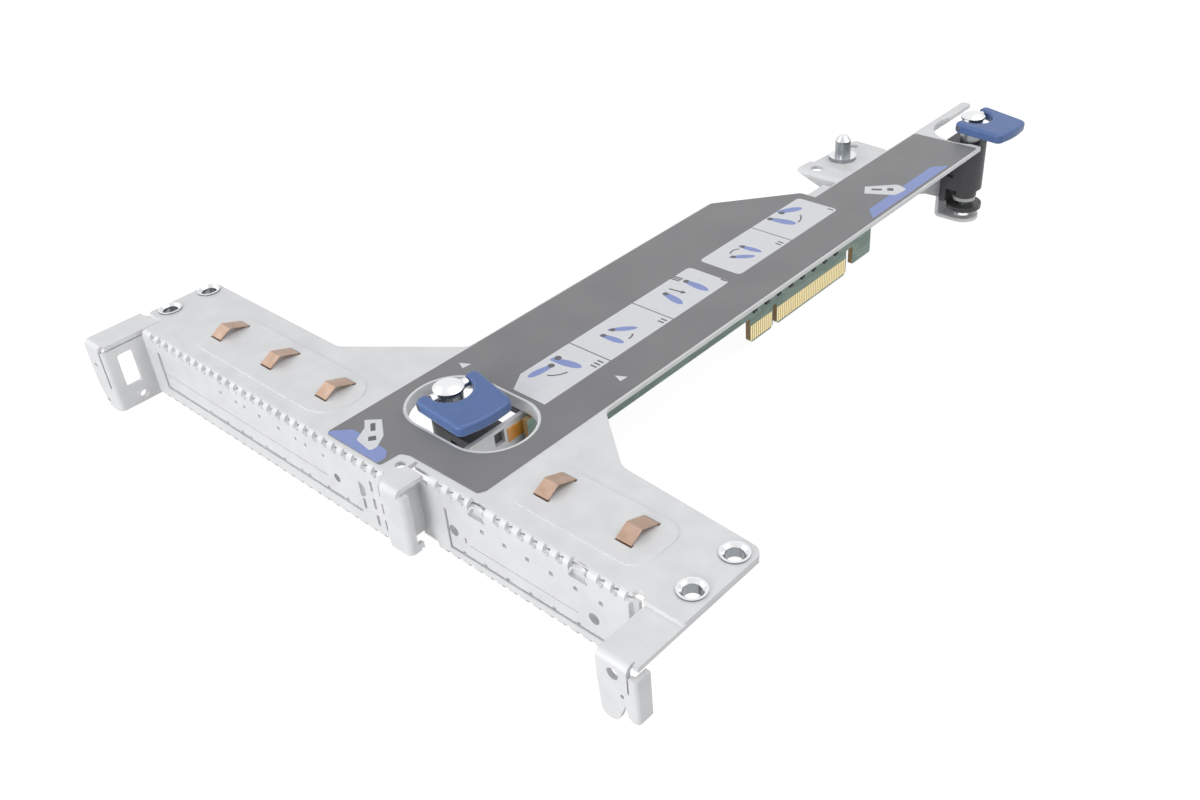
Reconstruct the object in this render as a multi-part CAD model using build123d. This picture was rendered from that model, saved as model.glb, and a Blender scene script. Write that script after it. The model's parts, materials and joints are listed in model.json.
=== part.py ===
from build123d import *
import math
import os

# Riser board in its sheet metal cage, with two turn latches that have hinged handles.
# Drawing frame: X along the rear wall, Y from the rear wall to the front latch, Z up.
# Its zero is the first wall perforation, the outer face of the left wall and the top of the plate.
# save() moves each piece into the part frame: zero on the rear latch axis, at the foot soles.

# Sheet metal
SHEET = 1.2
BEND = 0.4
OUTER_BEND = BEND + SHEET
FIT = 0.3
FOOT_DEPTH = 32.5

# Latch axes
REAR_AXIS = (93.5, 29.3)
FRONT_AXIS = (116.7, 248.3)

# Rear walls and their ventilation
LEFT_WALL = (-5.0, 101.5)
RIGHT_WALL = (111.5, 172.3)
RIGHT_WALL_Y = 5.68
WALL_DEPTH = 21.7
WALL_FLANGE = 4.0
VENT_PITCH = 3.81
VENT_WIDTH = 2.0
VENT_REACH = 1.45
VENT_DROP = 2.2
LEFT_VENTS = range(27)
RIGHT_VENT_START = 115.06
RIGHT_VENTS = (0, 1, 2, 5, 6, 7, 8, 9, 10, 13, 14, 15)
BRIDGE_SPAN = 5.2
BRIDGE_STARTS = (124.9, 155.7)
BRIDGE_DROP = 4.0

# Card windows, in a bracket opening of the standard height
WINDOW_HEIGHT = 12.06
LEFT_WINDOW = (1.0, 90.9)
LEFT_WINDOW_TOP = -4.84
HALF_MOON = (91.9, -8.9, 2.2)
TALL_HOLES = [(92.6, -13.2)] + [(x, z) for x in (96.9, 100.1) for z in (-5.9, -11.2, -16.3)]
TALL_HOLE = (1.0, 3.2)
PILOT_HOLE = (102.6, 5.4, 1.3)
RIGHT_WINDOW_START = 116.0
RIGHT_WINDOW_TOP = -6.2

# Slot blanks, standard bracket stock
BLANK_SHEET = 0.86
BLANK_HEIGHT = 18.42
BLANK_RECESS = 0.4

# Bulge in the wall between the windows
BULGE_START = LEFT_WALL[1]
BULGE_OUT = 2.4
BULGE_LENGTH = 7.3
BULGE_CORNER = BULGE_START + BULGE_OUT
BULGE_END = BULGE_CORNER + BULGE_LENGTH
BULGE_FOOT = 18.5
BULGE_TOP_REACH = 1.4
HOOK_SPAN = (104.6, 107.6)
HOOK_NEAR = 3.2
SIDE_WALL = 106.5

# Wings and plate
WING_NEAR = 6.8
WING_LEFT = -12.5
WING_RIGHT = 185.6
LEFT_WING_FAR = 28.7
RIGHT_WING_FAR = 32.9
SPINE_LEFT = 77.6
SPINE_RIGHT = 126.4
NECK_LEFT = 102.0
NECK_RIGHT_END = 236.8
PRONG_WIDTH = 3.5
PRONG_FLANGE = (238.0, 3.4)
PLATE_END = 269.0
PAD_RISE = 0.3
LEFT_PAD = (9.0, 73.5, 5.3, 22.6, 8.0)
RIGHT_PAD = (129.0, 169.5, 12.0, 28.0, 5.0)

# Openings round the latches
CUTOUT_LENGTH = 36.6
CUTOUT_WIDTH = 22.5
CUTOUT_CENTRE = (100.6, 29.55)
RIM_DEPTH = 3.5
FRONT_CUTOUT_RADIUS = 12.6

# Grounding clips
CLIP_WIDTH = 4.3
CLIP_SHEET = 0.25
CLIP_RISE = 2.3
CLIP_CREST = 4.0
CLIP_HOOK = 1.1
CLIP_SLOT = 0.9
LEFT_CLIPS = (17.4, 41.2, 65.2)
RIGHT_CLIPS = (137.35, 161.5)
LEFT_CLIP_SPAN = (10.2, 20.2)
RIGHT_CLIP_SPAN = (16.4, 26.1)

# Wing eyelets
EYELET_RADIUS = 3.35
EYELET_BORE = 2.1
EYELET_TUBE = 2.6
EYELET_LIP = 0.45
EYELETS = ((-9.0, 24.8), (-8.9, 11.8), (181.3, 28.5), (181.1, 14.9))

# Side brackets
LEFT_BRACKET_X = (-16.6, -7.5)
LEFT_BRACKET_Y = -12.0
LEFT_BRACKET_FOOT = 22.6
RIGHT_BRACKET_X = (175.7, 186.0)
RIGHT_BRACKET_Y = -8.0
RIGHT_LOBE_FOOT = 18.3
RIGHT_EAR_FOOT = 15.5

# Stud bracket and guide stud
STUD_BRACKET_NEAR = 191.5
STUD_JOGGLE = (199.3, 201.0)
STUD_STEP = 1.0
STUD_AXIS = (90.6, 208.8)
STUD_RADIUS = 2.6
STUD_FLANGE = 4.5
STUD_TOP = 6.0
STUD_HOLES = ((89.3, 195.6, 2.1), (88.3, 219.0, 1.6))

# Slot connector
SLOT_LENGTH = 89.0
SLOT_WIDTH = 7.6
SLOT_HEIGHT = 11.25
SLOT_START = 44.5
SLOT_CENTRE = 5.7
SLOT_KEY = 11.65 + 1.6
SLOT_MARGIN = 0.6

# Riser carrier
WEB_FACE = 106.6
WEB_BACK = WEB_FACE - SHEET
WEB_NEAR = 21.0
WEB_FAR = 186.0
WEB_DEPTH = 18.5
WEB_TOP_AT_RIM = 4.0
FLANGE_LEFT = 96.0
FLANGE_NEAR = SLOT_START + SLOT_LENGTH + 2.5
FOOT_RADIUS = 5.3
FOOT_BORE = 2.5

# Front latch bracket
FRONT_WEB = 108.6
FRONT_BRACKET_NEAR = 215.0
FRONT_WEB_TOP = 5.2

# Riser board and its edge, on the card edge pitch
BOARD_FACE = 108.2
BOARD_THICKNESS = 1.6
BOARD_NEAR = 39.0
BOARD_FAR = 197.4
BOARD_TOP = 1.4
BOARD_FOOT = 20.2
EDGE_FOOT = 28.7
EDGE_KEYS = (130.7, 142.35, 144.25, 182.9)
BOARD_TAB = (186.6, 26.7)
CONTACT_PITCH = 1.0
CONTACT_WIDTH = 0.7
CONTACT_LENGTH = 5.3
CONTACT_PLATING = 0.05
CONTACT_COUNTS = (11, 38)

# Bushes and screws of the board, as (Y, Z)
STANDOFFS = ((50.0, -14.0), (92.0, -14.0), (126.0, -14.0), (178.0, -8.0))
STANDOFF_RADIUS = 2.6
SCREW_RADIUS = 1.25

# Flush rivets
RIVET_RADIUS = 1.5
RIVET_HEAD = 1.8
RIVET_HEAD_HEIGHT = 0.8
CARRIER_RIVETS = [(100.0, FLANGE_NEAR + 6), (101.0, WEB_FAR - 14)]
FRONT_RIVETS = [(106.0, FRONT_BRACKET_NEAR + 4.5), (106.0, FRONT_BRACKET_NEAR + 17)]
STUD_RIVETS = [(104.6, STUD_BRACKET_NEAR + 4.5)]

# Latches
PIVOT_HEIGHT = 3.5
PIN_RADIUS = 0.8
PIN_REACH = 9.2
BARREL_RADIUS = 1.35
HANDLE_THICKNESS = 3.4
HANDLE_ROOT = 9.5
HANDLE_TIP = 8.2
HANDLE_LENGTH = 16.5
HANDLE_HEEL = 1.5
HANDLE_GAP = 5.7
HANDLE_THROAT = 6.2
HANDLE_EDGE = 1.0
HANDLE_DROOP = 4.0
REAR_TURN = -6.0
FRONT_TURN = -4.0
HEAD_RADIUS = 4.0
HEAD_RIM = 4.9
HEAD_CROWN = 6.4
NECK_RADIUS = 3.5
SHAFT_RADIUS = 2.6
RUNNING_FIT = 0.08
HOUSING_RADIUS = 5.5
HOUSING_TOP = 3.9
HOUSING_FOOT = FOOT_DEPTH - 11.5
HOUSING_LEG = FOOT_DEPTH - 6.5
HOUSING_NOSE = FOOT_DEPTH - 8.5
COLLAR_RADIUS = 3.8
COLLAR_HEIGHT = 1.2
CAM_RADIUS = 6.0
CAM_TOP = FOOT_DEPTH - 5.5
CAM_FOOT = FOOT_DEPTH - 4.0
TIP_RADIUS = 1.5
TIP_FOOT = FOOT_DEPTH - SHEET - 0.4
CROSS_PIN_DEPTH = FOOT_DEPTH - 2.5
CROSS_PIN_RADIUS = 0.6
CROSS_PIN_REACH = 4.6
SCREW_DEPTHS = (14.0, 12.0)
LATCH_SCREW_RADIUS = 1.0
SCREW_FIT = 0.02

# Label
LABEL_THICKNESS = 0.15
LABEL_INSET = 0.65


def block(x0, x1, y0, y1, z0, z1):
    """Box between two corners."""
    centre = Pos((x0 + x1) / 2, (y0 + y1) / 2, (z0 + z1) / 2)
    return centre * Box(abs(x1 - x0), abs(y1 - y0), abs(z1 - z0))


def rod(plane, radius, length):
    """Cylinder from the plane's origin along its normal."""
    return plane * Pos(0, 0, length / 2) * Cylinder(radius, length)


def rod_x(y, z, radius, x0, x1):
    return rod(Plane((x0, y, z), (0, 1, 0), (1, 0, 0)), radius, x1 - x0)


def rod_y(x, z, radius, y0, y1):
    return rod(Plane((x, y0, z), (1, 0, 0), (0, 1, 0)), radius, y1 - y0)


def rod_z(x, y, radius, z0, z1):
    return rod(Plane((x, y, z0), (1, 0, 0), (0, 0, 1)), radius, z1 - z0)


def outline(corners):
    """Flat face from corners (x, y) or (x, y, radius)."""
    points = [Vector(corner[0], corner[1]) for corner in corners]
    radii = [corner[2] if len(corner) > 2 else 0 for corner in corners]
    arcs = []
    for i, (point, radius) in enumerate(zip(points, radii)):
        before = points[i - 1] - point
        after = points[(i + 1) % len(points)] - point
        angle = math.radians(before.get_angle(after))
        if radius == 0 or angle > 3.1:
            arcs.append((point, None, point))
            continue
        reach = min(radius / math.tan(angle / 2), 0.49 * before.length, 0.49 * after.length)
        radius = reach * math.tan(angle / 2)
        toward_centre = (before.normalized() + after.normalized()).normalized()
        middle = point + toward_centre * (radius / math.sin(angle / 2) - radius)
        arcs.append((point + before.normalized() * reach, middle, point + after.normalized() * reach))
    edges = []
    for i, (start, middle, end) in enumerate(arcs):
        if middle is not None:
            edges.append(ThreePointArc(start, middle, end))
        edges.append(Line(end, arcs[(i + 1) % len(arcs)][0]))
    return Face(Wire(edges))


def strip(points, thickness=SHEET, bend=BEND):
    """Corners of a folded strip: its outer line, and its thickness on the left of the way along it."""
    line = [Vector(*point) for point in points]
    steps = [(b - a).normalized() for a, b in zip(line, line[1:])]
    lefts = [Vector(-step.Y, step.X) for step in steps]
    outer = [(line[0].X, line[0].Y)]
    inner = [tuple(line[0] + lefts[0] * thickness)[:2]]
    for i in range(1, len(line) - 1):
        mitre = (lefts[i - 1] + lefts[i]).normalized()
        shift = mitre * (thickness / mitre.dot(lefts[i]))
        turn = steps[i - 1].X * steps[i].Y - steps[i - 1].Y * steps[i].X
        on_line = bend + thickness if turn > 0 else bend
        on_left = bend if turn > 0 else bend + thickness
        outer.append((line[i].X, line[i].Y, on_line))
        inner.append((line[i].X + shift.X, line[i].Y + shift.Y, on_left))
    outer.append((line[-1].X, line[-1].Y))
    inner.append(tuple(line[-1] + lefts[-1] * thickness)[:2])
    return outer + inner[::-1]


def prism_x(corners, x0, x1):
    """Outline in Y and Z, run along X."""
    plane = Plane((x0, 0, 0), (0, 1, 0), (1, 0, 0))
    return extrude(plane * outline(corners), amount=x1 - x0, dir=(1, 0, 0))


def prism_y(corners, y0, y1):
    """Outline in X and Z, run along Y."""
    plane = Plane((0, y0, 0), (1, 0, 0), (0, -1, 0))
    return extrude(plane * outline(corners), amount=y1 - y0, dir=(0, 1, 0))


def prism_z(corners, z0, z1):
    """Outline in X and Y, run along Z."""
    return Pos(0, 0, z0) * extrude(outline(corners), amount=z1 - z0, dir=(0, 0, 1))


def rectangle(x0, x1, y0, y1, radius=0):
    return [(x0, y0, radius), (x1, y0, radius), (x1, y1, radius), (x0, y1, radius)]


def oblong(grow, z0, z1):
    """Rear latch opening, grown all round."""
    x, y = CUTOUT_CENTRE
    half_length = CUTOUT_LENGTH / 2 + grow
    half_width = CUTOUT_WIDTH / 2 + grow
    corners = rectangle(x - half_length, x + half_length, y - half_width, y + half_width, half_width)
    return prism_z(corners, z0, z1)


def save(name, shape):
    placed = Pos(-REAR_AXIS[0], -REAR_AXIS[1], FOOT_DEPTH) * shape
    placed.label = name
    export_step(placed, f"parts/{name}.step")


# Cage plate

def plate_outline():
    bulge_near = OUTER_BEND - BULGE_OUT
    near_right = RIGHT_WALL_Y + OUTER_BEND
    return [
        (LEFT_WALL[0], OUTER_BEND),
        (BULGE_START, OUTER_BEND),
        (BULGE_CORNER - 0.3, bulge_near),
        (BULGE_END - BULGE_TOP_REACH, bulge_near),
        (HOOK_SPAN[1], HOOK_NEAR, 1.0),
        (HOOK_SPAN[0], HOOK_NEAR + 1.4, 1.0),
        (HOOK_SPAN[0], HOOK_NEAR + 5.4, 0.3),
        (HOOK_SPAN[0] + 1, HOOK_NEAR + 5.4, 0.3),
        (HOOK_SPAN[0] + 1, near_right),
        (RIGHT_WALL[1], near_right),
        (RIGHT_WALL[1] + 0.4, near_right + 1.2, 0.8),
        (174.8, near_right + 1.2, 0.8),
        (175.2, WING_NEAR),
        (WING_RIGHT, WING_NEAR, 1.0),
        (WING_RIGHT, RIGHT_WING_FAR, 3.0),
        (144.0, 36.0, 6.0),
        (SPINE_RIGHT, 49.9, 3.0),
        (SPINE_RIGHT, NECK_RIGHT_END, 0.8),
        (118.0, 237.4),
        (112.6, 243.0),
        (NECK_LEFT + PRONG_WIDTH, 250.0),
        (NECK_LEFT + PRONG_WIDTH, PLATE_END, 1.0),
        (NECK_LEFT, PLATE_END, 1.0),
        (NECK_LEFT, 175.2),
        (96.9, 175.2, 2.0),
        (SPINE_LEFT, 152.9, 2.0),
        (SPINE_LEFT, 49.6, 3.0),
        (48.5, LEFT_WING_FAR, 4.0),
        (WING_LEFT, LEFT_WING_FAR, 3.0),
        (WING_LEFT, WING_NEAR, 1.0),
        (LEFT_WALL[0], WING_NEAR),
    ]


def wall(y, ends):
    """Wall folded down from the plate, with a lower flange folded under."""
    line = [(y + 8, 0), (y, 0), (y, -WALL_DEPTH), (y + WALL_FLANGE, -WALL_DEPTH)]
    return prism_x(strip(line), *ends)


def bulge():
    """Wall that steps out between the windows, with a hook beside the right window."""
    front = -BULGE_OUT
    start = [(BULGE_START - 3, 0), (BULGE_START, 0), (BULGE_CORNER, front)]
    line = start + [(BULGE_END, front), (BULGE_END, 1.9)]
    shape = prism_z(strip(line), -BULGE_FOOT, -OUTER_BEND)
    shape += prism_x(strip([(6, 0), (front, 0), (front, -5)]), BULGE_CORNER, BULGE_END - BULGE_TOP_REACH)
    gusset = [(BULGE_START, 0), (BULGE_CORNER, front), (BULGE_CORNER, 1.8), (BULGE_START, 1.8)]
    shape += prism_z(gusset, -OUTER_BEND - 0.1, -0.4)
    shape += block(SIDE_WALL, RIGHT_WALL[0] + 0.1, RIGHT_WALL_Y, RIGHT_WALL_Y + SHEET, -19, -2.5)
    shape += block(SIDE_WALL, SIDE_WALL + SHEET, front + 0.6, RIGHT_WALL_Y + 0.6, -17, -2.5)
    shape -= block(BULGE_END - 2, BULGE_END + 1, 0.2, 3, -16.6, -OUTER_BEND)
    return shape - rod_x(1.4, -BULGE_FOOT, 0.5, BULGE_END - 2, BULGE_END + 1)


def vent(x, y):
    """Rounded slot that runs over the upper bend."""
    left = x - VENT_WIDTH / 2
    right = x + VENT_WIDTH / 2
    rounding = 0.45 * VENT_WIDTH
    far = y + VENT_REACH
    over = [(left, y - 1), (right, y - 1), (right, far, rounding), (left, far, rounding)]
    down = [(left, 1), (left, -VENT_DROP, rounding), (right, -VENT_DROP, rounding), (right, 1)]
    return prism_z(over, -OUTER_BEND - 0.1, 1) + prism_y(down, y - 1, y + SHEET + 0.1)


def lower_notch(x, y):
    """Notch over the lower bend."""
    half = 0.45 * VENT_WIDTH
    return block(x - half, x + half, y - 1, y + 1.6, -WALL_DEPTH - 1, -WALL_DEPTH + 1.6)


def bridge(x):
    """Arch left across a wide slot in the right wall."""
    radius = BRIDGE_SPAN / 2 + 0.05
    centre = x + BRIDGE_SPAN / 2
    foot = -BRIDGE_DROP + 0.8
    arch = rod_y(centre, foot, radius, RIGHT_WALL_Y + 0.1, RIGHT_WALL_Y + SHEET - 0.05)
    arch -= rod_y(centre, foot, radius - 0.5, RIGHT_WALL_Y, RIGHT_WALL_Y + 2)
    return arch - block(x - 1, x + BRIDGE_SPAN + 1, RIGHT_WALL_Y - 1, RIGHT_WALL_Y + 2, foot - 4, foot)


def clip_slots(x, span):
    half = CLIP_WIDTH / 2 + 0.2
    near, far = span
    return [
        block(x - half, x + half, near, near + CLIP_SLOT, -3, 2),
        block(x - half, x + half, far - CLIP_SLOT, far, -3, 2),
    ]


def wall_openings():
    """Card windows, and the holes of the wall between them."""
    left = prism_y(
        [
            (LEFT_WINDOW[0], LEFT_WINDOW_TOP, 0.5),
            (LEFT_WINDOW[0], LEFT_WINDOW_TOP - WINDOW_HEIGHT, 0.5),
            (LEFT_WINDOW[1], LEFT_WINDOW_TOP - WINDOW_HEIGHT, 0.5),
            (LEFT_WINDOW[1], LEFT_WINDOW_TOP, 3.0),
        ],
        -1,
        SHEET + 0.4,
    )
    right = block(
        RIGHT_WINDOW_START,
        RIGHT_WALL[1] + 1,
        RIGHT_WALL_Y - 1,
        RIGHT_WALL_Y + SHEET + 0.4,
        RIGHT_WINDOW_TOP - WINDOW_HEIGHT,
        RIGHT_WINDOW_TOP,
    )
    x, z, radius = HALF_MOON
    half_moon = rod_y(x, z, radius, -1, SHEET + 1) & block(x - 0.2, x + 4, -1, SHEET + 1, z - 5, z + 5)
    cuts = [left, right, half_moon]
    width, height = TALL_HOLE
    for x, z in TALL_HOLES:
        cuts.append(block(x - width / 2, x + width / 2, -1, SHEET + 1, z - height / 2, z + height / 2))
    return cuts


def cage_plate():
    shape = prism_z(plate_outline(), -SHEET, 0)
    shape += wall(0, LEFT_WALL)
    shape += wall(RIGHT_WALL_Y, RIGHT_WALL)
    shape += bulge()
    for x0, x1, y0, y1, radius in (LEFT_PAD, RIGHT_PAD):
        shape += prism_z(rectangle(x0, x1, y0, y1, radius), -0.5, PAD_RISE)
        inner = rectangle(x0 + SHEET / 2, x1 - SHEET / 2, y0 + SHEET / 2, y1 - SHEET / 2, radius)
        shape -= prism_z(inner, -SHEET - 1, -SHEET + PAD_RISE)
    shape += oblong(SHEET, -RIM_DEPTH, -0.1)
    near, depth = PRONG_FLANGE
    shape += prism_x(rectangle(near, PLATE_END - 1, -depth, -0.1), NECK_LEFT, NECK_LEFT + SHEET)
    cuts = wall_openings()
    cuts += [oblong(0, -RIM_DEPTH - 1, 1), rod_z(*FRONT_AXIS, FRONT_CUTOUT_RADIUS, -SHEET - 1, 1)]
    cuts += [vent(VENT_PITCH * i, 0) for i in LEFT_VENTS]
    cuts += [vent(RIGHT_VENT_START + VENT_PITCH * i, RIGHT_WALL_Y) for i in RIGHT_VENTS]
    cuts += [lower_notch(VENT_PITCH * i, 0) for i in LEFT_VENTS]
    cuts += [lower_notch(RIGHT_VENT_START + VENT_PITCH * i, RIGHT_WALL_Y) for i in range(15)]
    for x in BRIDGE_STARTS:
        cuts.append(block(x, x + BRIDGE_SPAN, RIGHT_WALL_Y - 1, RIGHT_WALL_Y + 1.95, -BRIDGE_DROP, 1))
    for x in LEFT_CLIPS:
        cuts += clip_slots(x, LEFT_CLIP_SPAN)
    for x in RIGHT_CLIPS:
        cuts += clip_slots(x, RIGHT_CLIP_SPAN)
    cuts += [rod_z(x, y, EYELET_TUBE + 0.02, -3, 2) for x, y in EYELETS]
    cuts += [rivet_hole(x, y) for x, y in CARRIER_RIVETS + FRONT_RIVETS + STUD_RIVETS]
    cuts.append(rod_z(*PILOT_HOLE, -3, 2))
    shape -= cuts
    for x in BRIDGE_STARTS:
        shape += bridge(x)
    return shape


# Flush rivets through the plate

def rivet_hole(x, y):
    return rod_z(x, y, RIVET_RADIUS + 0.02, -4, 2)


def rivets(places):
    shapes = []
    for x, y in places:
        shank = rod_z(x, y, RIVET_RADIUS, -2 * SHEET, 0)
        shapes.append(shank + rod_z(x, y, RIVET_HEAD, -2 * SHEET - RIVET_HEAD_HEIGHT, -2 * SHEET))
    return Compound(children=shapes)


# Grounding clips and eyelets

def grounding_clip(x, span):
    """Copper strip that arches over the plate and hooks under it at both slots."""
    near, far = span
    middle_near = near + CLIP_SLOT / 2
    middle_far = far - CLIP_SLOT / 2
    under = PAD_RISE - SHEET - 0.02
    line = [
        (near - CLIP_HOOK, under - CLIP_SHEET),
        (middle_near + 0.15, under - CLIP_SHEET),
        (middle_near + 0.15, PAD_RISE + 0.2),
        (near + CLIP_CREST, PAD_RISE + CLIP_RISE - CLIP_SHEET),
        (middle_far - 0.15, PAD_RISE + 0.2),
        (middle_far - 0.15, under - CLIP_SHEET),
        (far + CLIP_HOOK, under - CLIP_SHEET),
    ]
    return prism_x(strip(line, CLIP_SHEET, 0.1), x - CLIP_WIDTH / 2, x + CLIP_WIDTH / 2)


def eyelet(x, y):
    """Rolled eyelet through the wing and the side bracket's flange."""
    shape = rod_z(x, y, EYELET_TUBE, -2 * SHEET, 0)
    shape += rod_z(x, y, EYELET_RADIUS, 0, EYELET_LIP)
    shape += rod_z(x, y, EYELET_RADIUS - 0.2, -2 * SHEET - EYELET_LIP, -2 * SHEET)
    shape -= rod_z(x, y, EYELET_BORE, -4, 2)
    return shape - Pos(x, y, EYELET_LIP - 0.35) * Cone(EYELET_BORE, EYELET_BORE + 0.7, 0.7)


# Slot blanks

def full_height_blank():
    """Blank bracket behind the left wall; its panel fills the window."""
    middle = LEFT_WINDOW_TOP - WINDOW_HEIGHT / 2
    half = BLANK_HEIGHT / 2
    back = SHEET
    shape = block(-1.0, 99.0, back, back + BLANK_SHEET, middle - half, middle + half)
    floor = LEFT_WINDOW_TOP - WINDOW_HEIGHT + FIT
    top = LEFT_WINDOW_TOP - FIT
    panel = [
        (LEFT_WINDOW[0] + FIT, top, 0.3),
        (LEFT_WINDOW[0] + FIT, floor, 0.3),
        (LEFT_WINDOW[1] - FIT, floor, 0.3),
        (LEFT_WINDOW[1] - FIT, top, 2.8),
    ]
    shape += prism_y(panel, BLANK_RECESS, back + 0.1)
    cuts = [rod_y(81.8, -10.9, 1.2, -1, 4), block(-1.5, 77.7, -1, BLANK_RECESS + 0.2, -12.15, -11.85)]
    for x in (32.4, 39.8, 43.6, 50.5, 59.0, 66.3, 70.4, 77.7):
        cuts.append(block(x - 0.4, x + 0.4, -1, back, top - 1.2, top + 1))
    for x0, x1 in ((22.8, 31.8), (38.3, 43.2), (49.5, 58.4), (65.1, 69.3), (76.4, 85.0)):
        cuts.append(block(x0, x1, -1, BLANK_RECESS + 0.4, floor - 1, floor + 0.25))
        cuts.append(block(x0, x0 + 0.7, -1, BLANK_RECESS + 0.6, floor - 1, floor + 0.9))
        cuts.append(block(x1 - 0.7, x1, -1, BLANK_RECESS + 0.6, floor - 1, floor + 0.9))
    return shape - cuts


def low_profile_blank():
    """Shorter blank bracket behind the right wall."""
    back = RIGHT_WALL_Y + SHEET
    face = RIGHT_WALL_Y + BLANK_RECESS
    margin = OUTER_BEND + 0.05
    shape = block(112.0, 174.0, back, back + BLANK_SHEET, -WALL_DEPTH + margin, -margin)
    floor = RIGHT_WINDOW_TOP - WINDOW_HEIGHT + FIT
    top = RIGHT_WINDOW_TOP - FIT
    shape += block(RIGHT_WINDOW_START + FIT, 174.0, face, back + 0.1, floor, top)
    cuts = [rod_y(117.9, -12.4, 1.5, 0, 12), rod_y(161.6, -13.3, 1.5, 0, 12)]
    cuts.append(block(123.2, 157.0, 0, face + 0.2, -14.45, -14.15))
    cuts.append(block(121.5, 122.0, 0, back, -14.2, -12.6))
    for i in range(6):
        x = 128.3 + 7.15 * i
        cuts.append(block(x - 0.6, x + 0.6, 0, back, top - 1.4, top + 1))
        x = 120.5 + 7.25 * i
        cuts.append(block(x - 0.5, x + 0.5, 0, back, floor - 1, floor + 0.6))
    return shape - cuts


# Side brackets

def left_side_bracket():
    """Bracket under the left wing: end face, windowed face and a lap behind the wall."""
    left, right = LEFT_BRACKET_X
    near = LEFT_BRACKET_Y
    top = -SHEET
    flange = [
        (left, near + OUTER_BEND),
        (right, near + OUTER_BEND),
        (right, 6.8),
        (-5.6, 6.8),
        (-5.6, 27.6, 2.0),
        (WING_LEFT + 0.4, 27.6, 2.0),
        (WING_LEFT + 0.4, 7.2),
        (-15.1, 5.7, 0.5),
        (left, 4.6, 0.5),
    ]
    shape = prism_z(flange, top - SHEET, top)
    end = strip([(6, top), (near, top), (near, -LEFT_BRACKET_FOOT)])
    shape += prism_x(end, left, right - OUTER_BEND)
    lap = strip([(left + 4, near), (right, near), (right, SHEET + 0.01), (-1.6, SHEET + 0.01)])
    shape += prism_z(lap, -LEFT_BRACKET_FOOT, top - SHEET - 0.5)
    shape += rod_x(-4.0, -20.1, 1.9, right - 0.2, right + 0.35)
    slant = [(left - 1, -14.0), (left, -14.0), (-13.3, -LEFT_BRACKET_FOOT - 1), (left - 1, -24)]
    cuts = [
        prism_x(rectangle(-7.8, -3.0, -16.0, -5.3, 0.8), right - 3, right + 1),
        rod_x(-4.0, -20.1, 1.2, right - 3, right + 1),
        block(-6.0, 0, 0, 4, -LEFT_BRACKET_FOOT - 1, -WALL_DEPTH + OUTER_BEND + 0.3),
        block(right - OUTER_BEND, right - 0.9, near - 0.1, near + 1.5, -14.8, top - SHEET - 0.01),
        rod_y(-13.4, -8.2, 0.6, near - 1, near + 3),
        rod_y(-13.2, -20.2, 0.6, near - 1, near + 3),
        prism_y(slant, near - 1, near + 3),
        prism_y([(left - 1, 0), (left - 1, -30), (left + 0.4, -30), (left + 0.4, -14)], near - 1, near + 3),
    ]
    cuts += [rod_z(x, y, EYELET_TUBE + 0.02, -4, 2) for x, y in EYELETS[:2]]
    return shape - cuts


def right_side_bracket():
    """Bracket under the right wing, with a two-lobed end face and a folded ear."""
    left, right = RIGHT_BRACKET_X
    near = RIGHT_BRACKET_Y
    top = -SHEET
    fold = 184.0
    flange = rectangle(left, right - 0.7, near + OUTER_BEND, 31.4, 0)
    shape = prism_z(flange, top - SHEET, top)
    shape += prism_x(strip([(6, top), (near, top), (near, -9)]), left, fold - 0.4)
    face = [
        (left, -8.0),
        (left + 0.6, -RIGHT_LOBE_FOOT, 2.6),
        (180.4, -RIGHT_LOBE_FOOT, 2.6),
        (182.7, -12.1),
        (fold - 0.6, -15.0),
        (fold + 0.4, -15.0),
        (fold + 0.4, -8.0),
    ]
    shape += prism_y(face, near, near + SHEET)
    ear = prism_z(strip([(fold, near), (right, near), (right, near + 4.2)]), -RIGHT_EAR_FOOT, -3.6)
    shape += ear
    cuts = [
        rod_y(180.0, -4.9, 1.45, near - 1, near + 3),
        rod_y(182.1, -9.8, 0.5, near - 1, near + 3),
        block(fold - 0.4, fold, near - 1, near + 2.5, -5.2, 0),
    ]
    cuts += [rod_z(x, y, EYELET_TUBE + 0.02, -4, 2) for x, y in EYELETS[2:]]
    return shape - cuts


# Stud bracket

def stud_bracket():
    """Joggled tongue beside the neck, with its near edge folded down."""
    near = STUD_BRACKET_NEAR
    joggle_near, joggle_far = STUD_JOGGLE
    top = -SHEET
    low = top - STUD_STEP
    line = [(near, -12), (near, top), (joggle_near, top), (joggle_far, low), (223.9, low)]
    folded = strip([(y, z) for y, z in reversed(line)])
    shape = prism_x(folded, 82.0, BOARD_FACE - 0.8)
    tongue = [
        (83.8, near - 1),
        (BOARD_FACE - 0.8, near - 1),
        (BOARD_FACE - 0.8, joggle_near),
        (103.2, joggle_far + 1, 1.0),
        (103.2, 222.6, 0.5),
        (99.3, 222.7, 1.0),
        (86.0, 223.8, 1.5),
        (83.9, near + 4),
    ]
    shape = shape & prism_z(tongue, -14, 1)
    below = [(80, -1.9), (83.8, -1.9), (95.5, -6.2), (102.5, -9.5), (112, -9.5), (112, -15), (80, -15)]
    shape -= prism_y(below, near - 1, near + OUTER_BEND)
    cuts = [rod_z(x, y, radius, -5, 2) for x, y, radius in STUD_HOLES]
    cuts.append(rod_z(*STUD_AXIS, 2.02, -5, 2))
    cuts += [rivet_hole(x, y) for x, y in STUD_RIVETS]
    return shape - cuts


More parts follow.
